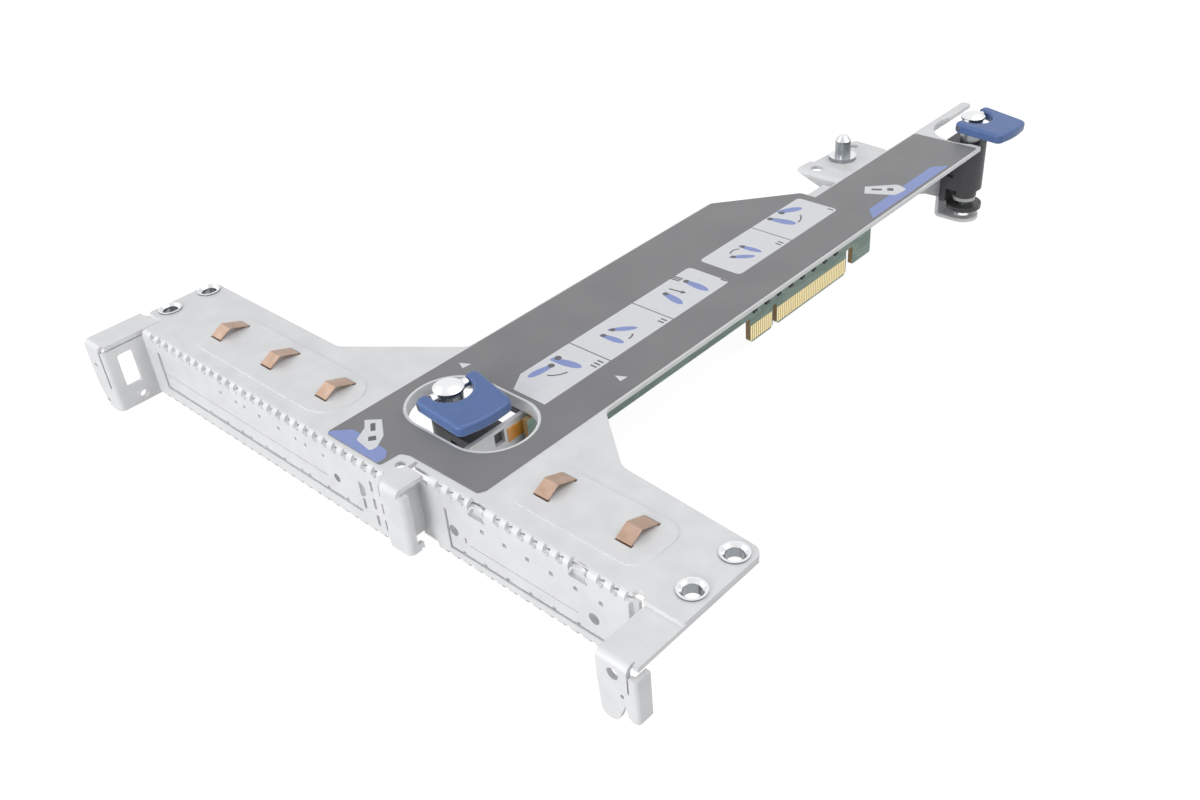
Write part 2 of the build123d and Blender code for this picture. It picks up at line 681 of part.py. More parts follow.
def guide_stud():
    """Flanged stud with a tapered tip, seated in the bracket."""
    x, y = STUD_AXIS
    seat = -SHEET - STUD_STEP
    shape = rod_z(x, y, 2.0, seat - SHEET, seat)
    shape += rod_z(x, y, STUD_FLANGE, seat, seat + 1.2)
    shape += rod_z(x, y, STUD_RADIUS, seat + 1.2, STUD_TOP - 1.6)
    return shape + Pos(x, y, STUD_TOP - 0.8) * Cone(STUD_RADIUS, STUD_RADIUS - 1.2, 1.6)


# Riser carrier

def slot_opening():
    """Way through the web for the slot connector."""
    near = SLOT_START - SLOT_MARGIN
    far = SLOT_START + SLOT_LENGTH + SLOT_MARGIN
    low = -SLOT_CENTRE - SLOT_WIDTH / 2 - SLOT_MARGIN
    return block(WEB_BACK - 2, WEB_FACE + 1, near, far, low, 0)


def latch_foot(axis, web_back, web_face, top):
    """Leg below a web, with a bored foot that reaches under the latch."""
    x, y = axis
    sole = -FOOT_DEPTH
    reach = abs(web_face - x)
    corners = strip([(-reach, top), (-reach, sole), (0, sole)])
    side = -1 if web_back > x else 1
    corners = [(x + side * a, b, *radius) for a, b, *radius in corners]
    shape = prism_y(corners, y - FOOT_RADIUS, y + FOOT_RADIUS)
    shape += rod_z(x, y, FOOT_RADIUS, sole, sole + SHEET)
    return shape - rod_z(x, y, FOOT_BORE, sole - 1, sole + 2)


def riser_carrier():
    """Web that holds the board and the rear latch, folded from a flange under the plate."""
    top = -SHEET
    web = [
        (WEB_NEAR, -WEB_TOP_AT_RIM, 2.0),
        (WEB_NEAR, -WEB_DEPTH, 2.0),
        (WEB_FAR, -WEB_DEPTH, 3.0),
        (WEB_FAR, top - OUTER_BEND),
        (FLANGE_NEAR, top - OUTER_BEND),
        (FLANGE_NEAR, -WEB_TOP_AT_RIM),
    ]
    shape = prism_x(web, WEB_BACK, WEB_FACE)
    fold = strip([(WEB_FACE, -WEB_DEPTH + 4), (WEB_FACE, top), (FLANGE_LEFT, top)])
    shape += prism_y(fold, FLANGE_NEAR, WEB_FAR)
    left = FLANGE_LEFT - 1
    corner = [(left, 152.0), (left, 200.0), (left + 3, 200.0), (left + 3, 176.0), (left + 1.5, 174.0)]
    shape += latch_foot(REAR_AXIS, WEB_BACK, WEB_FACE, -WEB_DEPTH + 4)
    cuts = [
        slot_opening(),
        block(WEB_BACK - 1, WEB_FACE + 1, 30.7, 34.0, -8.8, -5.0),
        prism_z(corner, -5, 0),
    ]
    cuts += [rod_x(y, z, SCREW_RADIUS + 0.02, WEB_BACK - 1, WEB_FACE + 1) for y, z in STANDOFFS]
    cuts += [rivet_hole(x, y) for x, y in CARRIER_RIVETS]
    hole = LATCH_SCREW_RADIUS + SCREW_FIT
    cuts.append(rod_x(REAR_AXIS[1], -SCREW_DEPTHS[0], hole, WEB_BACK - 1, WEB_FACE + 1))
    return shape - cuts


def front_latch_bracket():
    """Web under the neck that holds the front latch."""
    top = -SHEET
    x, y = FRONT_AXIS
    face = FRONT_WEB + SHEET
    web = [
        (FRONT_BRACKET_NEAR, top - OUTER_BEND),
        (FRONT_BRACKET_NEAR, -10.0, 2.0),
        (222.0, -16.0, 3.0),
        (232.2, -19.4, 3.0),
        (y - FOOT_RADIUS, 7.6 - FOOT_DEPTH),
        (y + FOOT_RADIUS, 7.6 - FOOT_DEPTH),
        (y + FOOT_RADIUS, -FRONT_WEB_TOP, 2.0),
        (y - 9.8, -FRONT_WEB_TOP),
        (y - 11.3, top - OUTER_BEND),
    ]
    shape = prism_x(web, FRONT_WEB, face)
    flange = strip([(face, -6), (face, top), (103.4, top)])
    shape += prism_y(flange, FRONT_BRACKET_NEAR, 236.5)
    shape += latch_foot(FRONT_AXIS, FRONT_WEB, FRONT_WEB, 10.5 - FOOT_DEPTH)
    cuts = [rivet_hole(rx, ry) for rx, ry in FRONT_RIVETS]
    cuts.append(rod_x(y, -SCREW_DEPTHS[1], LATCH_SCREW_RADIUS + SCREW_FIT, FRONT_WEB - 1, face + 1))
    return shape - cuts


# Riser board

def riser_board():
    """Circuit board with a keyed edge that points down."""
    edge_start, key_start, key_end, edge_end = EDGE_KEYS
    tab_start, tab_foot = BOARD_TAB
    chamfer = 1.0
    corners = [
        (BOARD_NEAR, -WEB_TOP_AT_RIM),
        (BOARD_NEAR, -BOARD_FOOT, 1.0),
        (edge_start, -BOARD_FOOT),
        (edge_start, -EDGE_FOOT + chamfer),
        (edge_start + chamfer, -EDGE_FOOT),
        (key_start - chamfer, -EDGE_FOOT),
        (key_start, -EDGE_FOOT + chamfer),
        (key_start, -BOARD_FOOT - 1.0),
        (key_end, -BOARD_FOOT - 1.0),
        (key_end, -EDGE_FOOT + chamfer),
        (key_end + chamfer, -EDGE_FOOT),
        (edge_end - chamfer, -EDGE_FOOT),
        (edge_end, -EDGE_FOOT + chamfer),
        (edge_end, -BOARD_FOOT),
        (tab_start, -BOARD_FOOT),
        (tab_start, -tab_foot, 0.5),
        (BOARD_FAR, -tab_foot, 0.5),
        (BOARD_FAR, -BOARD_TOP, 0.5),
        (43.2, -BOARD_TOP),
        (43.2, -WEB_TOP_AT_RIM),
    ]
    shape = prism_x(corners, BOARD_FACE, BOARD_FACE + BOARD_THICKNESS)
    far_face = BOARD_FACE + BOARD_THICKNESS + 1
    return shape - [rod_x(y, z, SCREW_RADIUS + 0.05, BOARD_FACE - 1, far_face) for y, z in STANDOFFS]


def edge_contacts():
    """Plated fingers on both faces of the edge."""
    pads = []
    starts = (EDGE_KEYS[0] + 0.33, EDGE_KEYS[2] + 0.33)
    low = -EDGE_FOOT + 0.6
    for start, count in zip(starts, CONTACT_COUNTS):
        for i in range(count):
            y = start + CONTACT_PITCH * i
            for x in (BOARD_FACE - CONTACT_PLATING, BOARD_FACE + BOARD_THICKNESS):
                pads.append(block(x, x + CONTACT_PLATING, y, y + CONTACT_WIDTH, low, low + CONTACT_LENGTH))
    return Compound(children=pads)


def slot_connector():
    """Edge socket on the board's left face, its slot open to the left."""
    near = SLOT_START
    far = SLOT_START + SLOT_LENGTH
    mouth = BOARD_FACE - SLOT_HEIGHT
    half = SLOT_WIDTH / 2
    shape = block(mouth, BOARD_FACE, near, far, -SLOT_CENTRE - half, -SLOT_CENTRE + half)
    key = near + SLOT_KEY
    slots = ((near + 1.4, key - 0.8), (key + 0.8, far - 1.4))
    for y0, y1 in slots:
        shape -= block(mouth - 1, mouth + 7.6, y0, y1, -SLOT_CENTRE - 1.3, -SLOT_CENTRE + 1.3)
    return shape


def slot_contacts():
    """Spring contacts along both sides of the slot."""
    mouth = BOARD_FACE - SLOT_HEIGHT
    start = SLOT_START + 1.8
    pins = []
    for i in range(int(SLOT_LENGTH - 3.2)):
        y = start + CONTACT_PITCH * i
        if abs(y + 0.2 - SLOT_START - SLOT_KEY) < 1.2:
            continue
        for z in (-SLOT_CENTRE - 1.29, -SLOT_CENTRE + 0.94):
            pins.append(block(mouth + 1.5, mouth + 7.6, y, y + 0.4, z, z + 0.35))
    return Compound(children=pins)


def standoffs():
    """Bushes between the web and the board."""
    shapes = []
    for y, z in STANDOFFS:
        bush = rod_x(y, z, STANDOFF_RADIUS, WEB_FACE, BOARD_FACE)
        shapes.append(bush - rod_x(y, z, SCREW_RADIUS + 0.02, WEB_FACE - 1, BOARD_FACE + 1))
    return Compound(children=shapes)


def board_screws():
    """Pan head screws through the board, the bushes and the web."""
    face = BOARD_FACE + BOARD_THICKNESS
    shapes = []
    for y, z in STANDOFFS:
        shank = rod_x(y, z, SCREW_RADIUS, WEB_BACK, face)
        shapes.append(shank + rod_x(y, z, 2.4, face, face + 1.4))
    return Compound(children=shapes)


def board_components():
    """Chips and small parts on the board's right face."""
    face = BOARD_FACE + BOARD_THICKNESS
    chips = [block(face, face + 1.1, 108.0, 116.0, -14.0, -6.0)]
    chips.append(block(face, face + 1.0, 150.0, 156.0, -13.0, -7.0))
    for i in range(8):
        y = 132.0 + 6.2 * i
        chips.append(block(face, face + 0.7, y, y + 1.6, -18.6, -17.8))
    for i in range(5):
        y = 60.0 + 9.0 * i
        chips.append(block(face, face + 0.9, y, y + 2.0, -9.0, -7.8))
    return Compound(children=chips)


def insulating_strip():
    """Amber film on the web beside the rear latch."""
    return block(WEB_FACE, WEB_FACE + 0.15, 35.0, 41.5, -9.6, -5.6)


# Latches

def place(axis, turn=0):
    return Pos(axis[0], axis[1], 0) * Rot(0, 0, turn)


def latch_housing(axis, web, screw_height):
    """Moulded body of a latch, between its axis and the web."""
    x, y = axis
    low, high = min(x, web), max(x, web)
    outward = 1 if web > x else -1
    shape = block(low, high, y - HOUSING_RADIUS, y + HOUSING_RADIUS, -HOUSING_FOOT, -HOUSING_TOP)
    shape += rod_z(x, y, HOUSING_RADIUS, -HOUSING_FOOT, -HOUSING_TOP)
    shape += rod_z(x, y, 4.0, -HOUSING_NOSE, -HOUSING_FOOT)
    leg = sorted((x + outward * 4.6, web))
    shape += block(*leg, y - HOUSING_RADIUS, y + HOUSING_RADIUS, -HOUSING_LEG, -HOUSING_FOOT)
    face = y - HOUSING_RADIUS
    centre = (x + web) / 2
    cuts = [
        rod_z(x, y, SHAFT_RADIUS + RUNNING_FIT, -HOUSING_NOSE - 1, 0),
        block(centre - 1.2, centre + 1.2, face - 1, face + 1.0, -9.0, -6.0),
        block(centre - 1.2, centre + 1.2, face - 1, face + 1.0, -16.5, -12.5),
        rod_x(y, screw_height, LATCH_SCREW_RADIUS + SCREW_FIT, *sorted((web - outward * 3.2, web))),
    ]
    return shape - cuts


def latch_screw(axis, web, web_outer, screw_height):
    """Screw through the web into the housing."""
    y = axis[1]
    outward = 1 if web > axis[0] else -1
    shank = rod_x(y, screw_height, LATCH_SCREW_RADIUS, *sorted((web - outward * 3.0, web_outer)))
    return shank + rod_x(y, screw_height, 1.9, *sorted((web_outer, web_outer + outward * 1.0)))


def latch_stem():
    """Domed head, hinge barrel and shaft, about the latch axis."""
    rise = HEAD_CROWN - HEAD_RIM
    ball = (HEAD_RADIUS**2 + rise**2) / (2 * rise)
    shape = Pos(0, 0, HEAD_CROWN - ball) * Sphere(ball) & rod_z(0, 0, HEAD_RADIUS, HEAD_RIM - 0.6, HEAD_CROWN)
    shape += rod_z(0, 0, NECK_RADIUS, -HOUSING_TOP + FIT, HEAD_RIM)
    shape += rod_z(0, 0, SHAFT_RADIUS, -CAM_FOOT, 0)
    shape += rod_z(0, 0, TIP_RADIUS, -TIP_FOOT, -CAM_FOOT)
    barrel = HANDLE_GAP - FIT
    shape += rod_y(0, PIVOT_HEIGHT, BARREL_RADIUS, -barrel, barrel)
    cuts = [
        rod_y(0, PIVOT_HEIGHT, PIN_RADIUS + SCREW_FIT, -barrel - 1, barrel + 1),
        rod_y(0, -CROSS_PIN_DEPTH, CROSS_PIN_RADIUS + SCREW_FIT, -4, 4),
    ]
    return shape - cuts


def latch_handle():
    """Forked handle about its pin, pointing along X."""
    half = HANDLE_THICKNESS / 2
    throat = HANDLE_THROAT - HANDLE_GAP
    corners = [
        (-HANDLE_HEEL, -HANDLE_ROOT, 1.8),
        (HANDLE_LENGTH - 1.2, -HANDLE_TIP, 2.4),
        (HANDLE_LENGTH, 0, 30.0),
        (HANDLE_LENGTH - 1.2, HANDLE_TIP, 2.4),
        (-HANDLE_HEEL, HANDLE_ROOT, 1.8),
        (-HANDLE_HEEL, HANDLE_GAP, 1.6),
        (throat, HANDLE_GAP),
        (throat, -HANDLE_GAP),
        (-HANDLE_HEEL, -HANDLE_GAP, 1.6),
    ]
    shape = prism_z(corners, -half, half) - rod_z(throat, 0, HANDLE_GAP, -half - 1, half + 1)
    rims = shape.faces().sort_by(Axis.Z)
    shape = fillet(rims[-1].edges() + rims[0].edges(), HANDLE_EDGE)
    return shape - rod_y(0, 0, PIN_RADIUS + RUNNING_FIT, -HANDLE_ROOT - 1, HANDLE_ROOT + 1)


def save_latch(name, axis, turn, web, web_outer, screw_height):
    on_axis = place(axis, turn)
    save(f"{name}_housing", latch_housing(axis, web, screw_height))
    save(f"{name}_screw", latch_screw(axis, web, web_outer, screw_height))
    save(f"{name}_stem", on_axis * latch_stem())
    save(f"{name}_hinge_pin", on_axis * rod_y(0, PIVOT_HEIGHT, PIN_RADIUS, -PIN_REACH, PIN_REACH))
    save(f"{name}_handle", on_axis * Pos(0, 0, PIVOT_HEIGHT) * Rot(0, HANDLE_DROOP, 0) * latch_handle())
    collar_top = -HOUSING_NOSE - FIT
    bore = rod_z(0, 0, SHAFT_RADIUS + SCREW_FIT, -FOOT_DEPTH, 0)
    collar = rod_z(0, 0, COLLAR_RADIUS, collar_top - COLLAR_HEIGHT, collar_top)
    save(f"{name}_collar", on_axis * (collar - bore))
    save(f"{name}_cam", on_axis * (rod_z(0, 0, CAM_RADIUS, -CAM_FOOT, -CAM_TOP) - bore))
    cross_pin = rod_y(0, -CROSS_PIN_DEPTH, CROSS_PIN_RADIUS, -CROSS_PIN_REACH, CROSS_PIN_REACH)
    save(f"{name}_cross_pin", on_axis * cross_pin)


# Label

def instruction_label():
    """Printed film over the spine and neck of the plate."""
    inset = LABEL_INSET
    corners = [
        (SPINE_LEFT + inset, 2.3, 1.5),
        (99.0, 2.3, 0.8),
        (99.4, 8.0, 1.0),
        (101.9, 9.0, 0.5),
        (124.8, 9.2, 0.8),
        (SPINE_RIGHT - inset, 11.0, 0.8),
        (SPINE_RIGHT - inset, 234.9, 1.0),
        (NECK_LEFT + inset, 234.9, 1.0),
        (NECK_LEFT + inset, 174.6),
        (97.2, 174.6, 1.5),
        (SPINE_LEFT + inset, 153.1, 1.5),
    ]
    return prism_z(corners, 0, LABEL_THICKNESS) - oblong(0.8, -1, 1)


os.makedirs("parts", exist_ok=True)

save("cage_plate", cage_plate())
save("left_side_bracket", left_side_bracket())
save("right_side_bracket", right_side_bracket())
save("slot_blank_full_height", full_height_blank())
save("slot_blank_low_profile", low_profile_blank())
save("instruction_label", instruction_label())
save("wing_eyelets", Compound(children=[eyelet(x, y) for x, y in EYELETS]))
clips = [(x, LEFT_CLIP_SPAN) for x in LEFT_CLIPS] + [(x, RIGHT_CLIP_SPAN) for x in RIGHT_CLIPS]
for number, (x, span) in enumerate(clips, start=1):
    save(f"grounding_clip_{number}", grounding_clip(x, span))
save("stud_bracket", stud_bracket())
save("guide_stud", guide_stud())
save("stud_bracket_rivet", rivets(STUD_RIVETS))
save("riser_carrier", riser_carrier())
save("carrier_rivets", rivets(CARRIER_RIVETS))
save("front_latch_bracket", front_latch_bracket())
save("front_bracket_rivets", rivets(FRONT_RIVETS))
save("riser_board", riser_board())
save("edge_contacts", edge_contacts())
save("slot_connector", slot_connector())
save("slot_contacts", slot_contacts())
save("board_standoffs", standoffs())
save("board_screws", board_screws())
save("board_components", board_components())
save("insulating_strip", insulating_strip())
save_latch("rear_latch", REAR_AXIS, REAR_TURN, WEB_BACK, WEB_FACE, -SCREW_DEPTHS[0])
save_latch("front_latch", FRONT_AXIS, FRONT_TURN, FRONT_WEB + SHEET, FRONT_WEB, -SCREW_DEPTHS[1])
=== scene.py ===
import json
import math

import bmesh
import bpy
from mathutils import Matrix, Vector


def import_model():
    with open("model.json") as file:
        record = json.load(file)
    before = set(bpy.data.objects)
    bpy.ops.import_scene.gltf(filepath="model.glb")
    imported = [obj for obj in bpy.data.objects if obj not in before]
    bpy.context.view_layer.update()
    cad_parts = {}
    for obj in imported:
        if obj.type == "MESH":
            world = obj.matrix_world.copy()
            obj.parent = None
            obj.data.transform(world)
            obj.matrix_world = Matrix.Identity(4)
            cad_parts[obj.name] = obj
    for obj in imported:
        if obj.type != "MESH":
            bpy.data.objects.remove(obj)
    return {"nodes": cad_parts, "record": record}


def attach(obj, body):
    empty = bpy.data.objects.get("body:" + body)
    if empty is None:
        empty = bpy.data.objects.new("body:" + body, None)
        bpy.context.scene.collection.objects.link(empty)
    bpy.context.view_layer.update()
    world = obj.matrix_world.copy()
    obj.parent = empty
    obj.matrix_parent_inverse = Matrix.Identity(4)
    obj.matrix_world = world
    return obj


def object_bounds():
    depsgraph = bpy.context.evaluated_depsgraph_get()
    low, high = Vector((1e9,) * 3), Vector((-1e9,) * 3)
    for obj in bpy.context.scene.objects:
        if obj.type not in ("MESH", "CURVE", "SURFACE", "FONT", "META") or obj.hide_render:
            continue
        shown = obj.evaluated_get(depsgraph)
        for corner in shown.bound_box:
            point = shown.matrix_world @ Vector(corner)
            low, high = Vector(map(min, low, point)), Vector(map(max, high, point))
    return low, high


# Riser board in its cage: finishes, label print, camera and light, in the frame of the solids.
# Places are in millimetres of the drawing frame: X from the first wall slot, Y from the left wall's
# outer face, Z from the plate's top. at() turns them into the part frame in metres.
REAR_AXIS = (93.5, 29.3)
FOOT_DEPTH = 32.5

# Label print
LABEL_TOP = 0.15
PRINT_STEP = 0.02
PRINT_SINK = 0.01
PANEL_LEFT = 98.5
PANEL_RIGHT = 113.0
PANEL_ROUND = 1.6
PANEL_SHARP = 0.15
PANEL_GAP = 0.45
REMOVAL_PANELS = ((121.2, 146.7, "near"), (146.7, 171.5, "far"))
FITTING_PANELS = ((42.4, 66.7, "cut"), (66.7, 91.9, ""), (91.9, 117.0, "far"))
CUT_CORNER = (3.5, 5.9)
CUT_ROUND = 0.5
PADDLE_STEPS = 12
PADDLE_ROOT = 0.42
PADDLE_SWELL = 0.58
PADDLE_REACH = 1.35
TALLY_LEFT = 110.2
TALLY_RIGHT = 112.2
TALLY_PITCH = 1.3
TALLY_WIDTH = 0.5
TALLY_ROUND = 0.1
TALLIES = ((169.8, 1), (143.6, 2), (116.1, 1), (89.9, 2), (64.6, 3))

# Camera, in the part frame
SENSOR = 36.0
LENS = 35.4845
CAMERA_CLIP = (0.01, 20.0)
CAMERA_PLACE = (0.196884, -0.143973, 0.197418)
CAMERA_RIGHT = (0.737541, 0.671545, -0.071139)
CAMERA_UP = (-0.342611, 0.462885, 0.817530)
CAMERA_FORWARD = (-0.581938, 0.578589, -0.571475)

# Studio: each lamp has a place, a power in watts and a size
MIDDLE = (0.01, 0.09, 0.02)
LAMPS = {
    "key": ((0.45, 0.35, 0.85), 4.4, 1.0),
    "fill": ((-0.70, -0.40, 0.55), 1.4, 0.8),
    "front": ((0.10, -0.95, 0.16), 7.5, 0.7),
}
ROOM_LIGHT = 0.44
FLOOR_REACH = 3.0
FLOOR_DROP = 0.0002
FLOOR_GREY = 0.30
FLOOR_GLOW = 0.88

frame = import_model()
cad_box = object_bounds()


def at(x, y, z=0.0):
    return Vector(((x - REAR_AXIS[0]) / 1000, (y - REAR_AXIS[1]) / 1000, (z + FOOT_DEPTH) / 1000))


def show(item):
    bpy.context.scene.collection.objects.link(item)


# Materials

def new_material(name, color, metallic, roughness):
    """Plain material, whose values the textures below vary."""
    material = bpy.data.materials.new(name)
    material.use_nodes = True
    shader = material.node_tree.nodes["Principled BSDF"]
    shader.inputs["Base Color"].default_value = (*color, 1)
    shader.inputs["Metallic"].default_value = metallic
    shader.inputs["Roughness"].default_value = roughness
    return material


def noise(material, scale, detail=3.0, stretch=(1, 1, 1)):
    """Noise over the object's own coordinates."""
    nodes = material.node_tree.nodes
    links = material.node_tree.links
    place = nodes.new("ShaderNodeTexCoord")
    mapping = nodes.new("ShaderNodeMapping")
    mapping.inputs["Scale"].default_value = stretch
    texture = nodes.new("ShaderNodeTexNoise")
    texture.inputs["Scale"].default_value = scale
    texture.inputs["Detail"].default_value = detail
    links.new(place.outputs["Object"], mapping.inputs["Vector"])
    links.new(mapping.outputs["Vector"], texture.inputs["Vector"])
    return texture.outputs["Fac"]


def spread(material, source, low, high, start=0.3, end=0.7):
    """Number that runs from low to high with the source."""
    node = material.node_tree.nodes.new("ShaderNodeMapRange")
    node.inputs["From Min"].default_value = start
    node.inputs["From Max"].default_value = end
    node.inputs["To Min"].default_value = low
    node.inputs["To Max"].default_value = high
    material.node_tree.links.new(source, node.inputs["Value"])
    return node.outputs["Result"]


def tint(material, source, dark, light, start=0.3, end=0.7):
    """Base colour that runs from dark to light with the source."""
    ramp = material.node_tree.nodes.new("ShaderNodeValToRGB")
    ramp.color_ramp.elements[0].position = start
    ramp.color_ramp.elements[0].color = (*dark, 1)
    ramp.color_ramp.elements[1].position = end
    ramp.color_ramp.elements[1].color = (*light, 1)
    material.node_tree.links.new(source, ramp.inputs["Fac"])
    shader = material.node_tree.nodes["Principled BSDF"]
    material.node_tree.links.new(ramp.outputs["Color"], shader.inputs["Base Color"])


def own_normal(material, axis):
    """Size of the surface normal along one axis of the object itself."""
    nodes = material.node_tree.nodes
    links = material.node_tree.links
    place = nodes.new("ShaderNodeTexCoord")
    parts = nodes.new("ShaderNodeSeparateXYZ")
    size = nodes.new("ShaderNodeMath")
    size.operation = "ABSOLUTE"
    links.new(place.outputs["Normal"], parts.inputs[0])
    links.new(parts.outputs[axis], size.inputs[0])
    return size.outputs[0]


def roughen(material, source, low, high):
    shader = material.node_tree.nodes["Principled BSDF"]
    material.node_tree.links.new(spread(material, source, low, high), shader.inputs["Roughness"])


def bump(material, source, strength, distance):
    node = material.node_tree.nodes.new("ShaderNodeBump")
    node.inputs["Strength"].default_value = strength
    node.inputs["Distance"].default_value = distance
    material.node_tree.links.new(source, node.inputs["Height"])
    shader = material.node_tree.nodes["Principled BSDF"]
    material.node_tree.links.new(node.outputs["Normal"], shader.inputs["Normal"])


def zinc_sheet():
    """Zinc-plated sheet: pale, satin, with soft handling marks."""
    material = new_material("zinc_sheet", (0.75, 0.755, 0.76), 0.26, 0.5)
    tint(material, noise(material, 160, 4), (0.73, 0.735, 0.745), (0.79, 0.795, 0.80))
    roughen(material, noise(material, 420, 2), 0.44, 0.58)
    bump(material, noise(material, 2600, 2), 0.12, 0.00005)
    return material


def bright_steel():
    """Turned steel, with painted reflection: faces across the turning axis are painted dark and faces that
    look along it painted light.
    """
    material = new_material("bright_steel", (0.82, 0.83, 0.85), 0.9, 0.22)
    # painted reflection: base colour runs from dark on faces across the turning axis to light on faces along
    # it
    tint(material, own_normal(material, "Z"), (0.30, 0.32, 0.34), (0.86, 0.87, 0.88), 0.15, 0.85)
    roughen(material, noise(material, 900, 2), 0.20, 0.30)
    return material


def copper():
    material = new_material("copper", (0.46, 0.32, 0.25), 0.8, 0.36)
    tint(material, noise(material, 300, 3), (0.40, 0.27, 0.195), (0.52, 0.37, 0.29))
    roughen(material, noise(material, 1200, 2), 0.28, 0.42)
    return material


def label_film():
    material = new_material("label_film", (0.21, 0.21, 0.215), 0.0, 0.36)
    tint(material, noise(material, 60, 2), (0.20, 0.20, 0.206), (0.225, 0.225, 0.23))
    bump(material, noise(material, 5200, 2), 0.10, 0.00002)
    return material


def plain_print(name, color):
    material = new_material(name, color, 0.0, 0.42)
    dark = tuple(0.96 * c for c in color)
    tint(material, noise(material, 700, 2), dark, color)
    return material


def moulded(name, color, low, high):
    """Moulded plastic with a fine grain."""
    material = new_material(name, color, 0.0, (low + high) / 2)
    dark = tuple(0.9 * c for c in color)
    tint(material, noise(material, 250, 3), dark, color)
    roughen(material, noise(material, 900, 2), low, high)
    bump(material, noise(material, 6000, 2), 0.10, 0.00003)
    return material


def board_laminate():
    """Green solder mask with faint tracks under it, and bare brown laminate on the thin edges."""
    material = new_material("board_laminate", (0.16, 0.30, 0.22), 0.0, 0.35)
    tracks = noise(material, 500, 1, (1, 0.25, 1))
    tint(material, tracks, (0.24, 0.37, 0.30), (0.33, 0.47, 0.39), 0.45, 0.55)
    nodes = material.node_tree.nodes
    links = material.node_tree.links
    shader = nodes["Principled BSDF"]
    mask = shader.inputs["Base Color"].links[0].from_socket
    blend = nodes.new("ShaderNodeMix")
    blend.data_type = "RGBA"
    blend.inputs["A"].default_value = (0.42, 0.27, 0.12, 1)
    broad = spread(material, own_normal(material, "X"), 0.0, 1.0, 0.4, 0.6)
    links.new(broad, blend.inputs["Factor"])
    links.new(mask, blend.inputs["B"])
    links.new(blend.outputs["Result"], shader.inputs["Base Color"])
    return material


def gold():
    material = new_material("gold", (0.94, 0.76, 0.40), 1.0, 0.28)
    roughen(material, noise(material, 1500, 2), 0.22, 0.36)
    return material


def amber_film():
    material = new_material("amber_film", (0.85, 0.36, 0.05), 0.0, 0.25)
    tint(material, noise(material, 800, 2), (0.90, 0.36, 0.05), (1.0, 0.48, 0.10))
    return material


FINISHES = {
    "sheet_steel": zinc_sheet(),
    "bright_steel": bright_steel(),
    "copper": copper(),
    "label_film": label_film(),
    "blue_plastic": moulded("blue_plastic", (0.095, 0.170, 0.40), 0.30, 0.42),
    "black_plastic": moulded("black_plastic", (0.075, 0.076, 0.082), 0.35, 0.5),
    "white_plastic": moulded("white_plastic", (0.82, 0.82, 0.80), 0.35, 0.5),
    "board_laminate": board_laminate(),
    "gold_plating": gold(),
    "amber_film": amber_film(),
}
PANEL_WHITE = plain_print("panel_white", (0.80, 0.81, 0.84))
PRINT_BLUE = plain_print("print_blue", (0.27, 0.34, 0.66))
PRINT_DARK = plain_print("print_dark", (0.13, 0.13, 0.14))
CAM_BLACK = moulded("cam_black", (0.05, 0.05, 0.052), 0.30, 0.42)

for entry in frame["record"]["subparts"]:
    node = frame["nodes"][entry["node"]]
    node.data.materials.clear()
    finish = FINISHES[entry["material_slot"]]
    if entry["node"].endswith("_latch_cam"):
        finish = CAM_BLACK
    node.data.materials.append(finish)


# Mesh helpers

def rounded(corners, steps=5):
    """Outline with rounded corners, from corners (x, y) or (x, y, radius)."""
    points = []
    for i, corner in enumerate(corners):
        here = Vector(corner[:2])
        radius = corner[2] if len(corner) > 2 else 0
        before = Vector(corners[i - 1][:2]) - here
        after = Vector(corners[(i + 1) % len(corners)][:2]) - here
        angle = before.angle(after)
        if radius == 0 or angle > 3.1:
            points.append(here)
            continue
        reach = min(radius / math.tan(angle / 2), 0.49 * before.length, 0.49 * after.length)
        start = here + before.normalized() * reach
        end = here + after.normalized() * reach
        for k in range(steps + 1):
            t = k / steps
            points.append((1 - t) ** 2 * start + 2 * t * (1 - t) * here + t**2 * end)
    return points


def sheet_mesh(name, outlines, low, high, material):
    """Flat plates between two heights, one for each outline, as one piece."""
    mesh = bmesh.new()
    for outline in outlines:
        floor = [mesh.verts.new(at(p.x, p.y, low)) for p in outline]
        face = mesh.faces.new(floor)
        raised = bmesh.ops.extrude_face_region(mesh, geom=[face])
        verts = [v for v in raised["geom"] if isinstance(v, bmesh.types.BMVert)]
        bmesh.ops.translate(mesh, vec=(0, 0, (high - low) / 1000), verts=verts)
    bmesh.ops.recalc_face_normals(mesh, faces=mesh.faces)
    data = bpy.data.meshes.new(name)
    mesh.to_mesh(data)
    mesh.free()
    data.materials.append(material)
    piece = bpy.data.objects.new(name, data)
    show(piece)
    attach(piece, "cage")


def turned(points, centre, angle):
    """Points turned about a centre, in degrees."""
    turn = Matrix.Rotation(math.radians(angle), 2)
    return [Vector(centre) + turn @ Vector(p) for p in points]


# Shapes of the label print

def panel(near, far, end):
    """White field of the label, rounded or cut at the end of its row."""
    low = PANEL_ROUND if end == "near" else PANEL_SHARP
    high = PANEL_ROUND if end == "far" else PANEL_SHARP
    y0 = near + PANEL_GAP / 2
    y1 = far - PANEL_GAP / 2
    first = [(PANEL_LEFT, y0, low)]
    if end == "cut":
        first = [(PANEL_LEFT, y0 + CUT_CORNER[1], CUT_ROUND), (PANEL_LEFT + CUT_CORNER[0], y0, CUT_ROUND)]
    last = [(PANEL_RIGHT, y0, low), (PANEL_RIGHT, y1, high), (PANEL_LEFT, y1, high)]
    return rounded(first + last)


def along(points, start, end):
    """Points of a shape drawn from 0 to 1, laid from start to end."""
    line = Vector(end) - Vector(start)
    turn = Matrix.Rotation(math.atan2(line.y, line.x), 2)
    return [Vector(start) + turn @ Vector((p.x * line.length, p.y)) for p in points]


